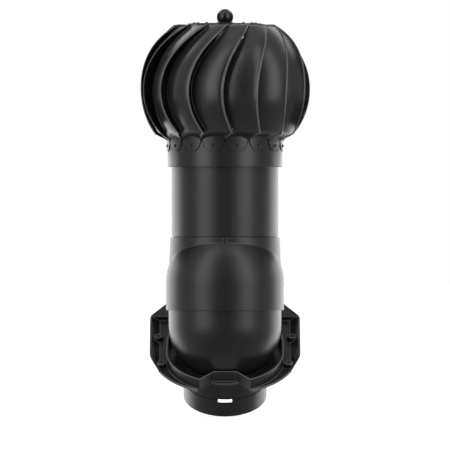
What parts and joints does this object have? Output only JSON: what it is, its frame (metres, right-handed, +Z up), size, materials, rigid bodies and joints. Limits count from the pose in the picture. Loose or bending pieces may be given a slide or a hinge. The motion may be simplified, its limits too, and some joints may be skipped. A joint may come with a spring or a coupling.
{
  "type": "roof turbine ventilator",
  "caption": "wind driven roof vent: bladed rotor on a pipe, domed hood over a ball housing that tilts in a sloped screw-down flange with a duct spigot below",
  "frame": {"origin": "centre of the duct spigot's open end", "axes": "+Z up along the pipe, +Y away from the front and up the roof, +X to the right seen from the front"},
  "size_m": [0.2559, 0.2926, 0.6127],
  "materials": {
    "flange_plastic": "satin moulded, fine grain",
    "housing_plastic": "satin moulded",
    "pipe_coat": "satin, extruded pipe",
    "rotor_coat": "satin powder coat",
    "rivet_coat": "satin paint on domed heads",
    "bracket_steel": "plain coat",
    "screw_steel": "zinc plated",
    "axle_steel": "ground",
    "hub_aluminium": "turned",
    "bearing_steel": "ground",
    "knob_plastic": "polished black"
  },
  "bodies": {
    "base": {"base_flange": "flange_plastic"},
    "housing": {"lower_housing": "housing_plastic", "hood": "housing_plastic", "upper_pipe": "pipe_coat", "axle_cross": "bracket_steel", "cross_screws": "screw_steel", "axle": "axle_steel", "axle_nut": "screw_steel"},
    "rotor": {"rotor_ring": "rotor_coat", "ring_rivets": "rivet_coat", "top_plate": "rotor_coat", "top_rivets": "rivet_coat", "hub_sleeve": "hub_aluminium", "bearing_lower": "bearing_steel", "bearing_upper": "bearing_steel", "ball_knob": "knob_plastic", "blade_01": "rotor_coat", "blade_02": "rotor_coat", "blade_03": "rotor_coat", "blade_04": "rotor_coat", "blade_05": "rotor_coat", "blade_06": "rotor_coat", "blade_07": "rotor_coat", "blade_08": "rotor_coat", "blade_09": "rotor_coat", "blade_10": "rotor_coat", "blade_11": "rotor_coat", "blade_12": "rotor_coat", "blade_13": "rotor_coat", "blade_14": "rotor_coat", "blade_15": "rotor_coat"}
  },
  "joints": [
    {"name": "pitch", "type": "hinge", "parent": "base", "child": "housing", "pos_m": [0, -0.03294, 0.10546], "axis": [1, 0, 0], "range_deg": [-10, 15]},
    {"name": "rotor_spin", "type": "hinge", "parent": "housing", "child": "rotor", "pos_m": [0, -0.01494, 0.10546], "axis": [0, 0, 1], "continuous": true}
  ]
}
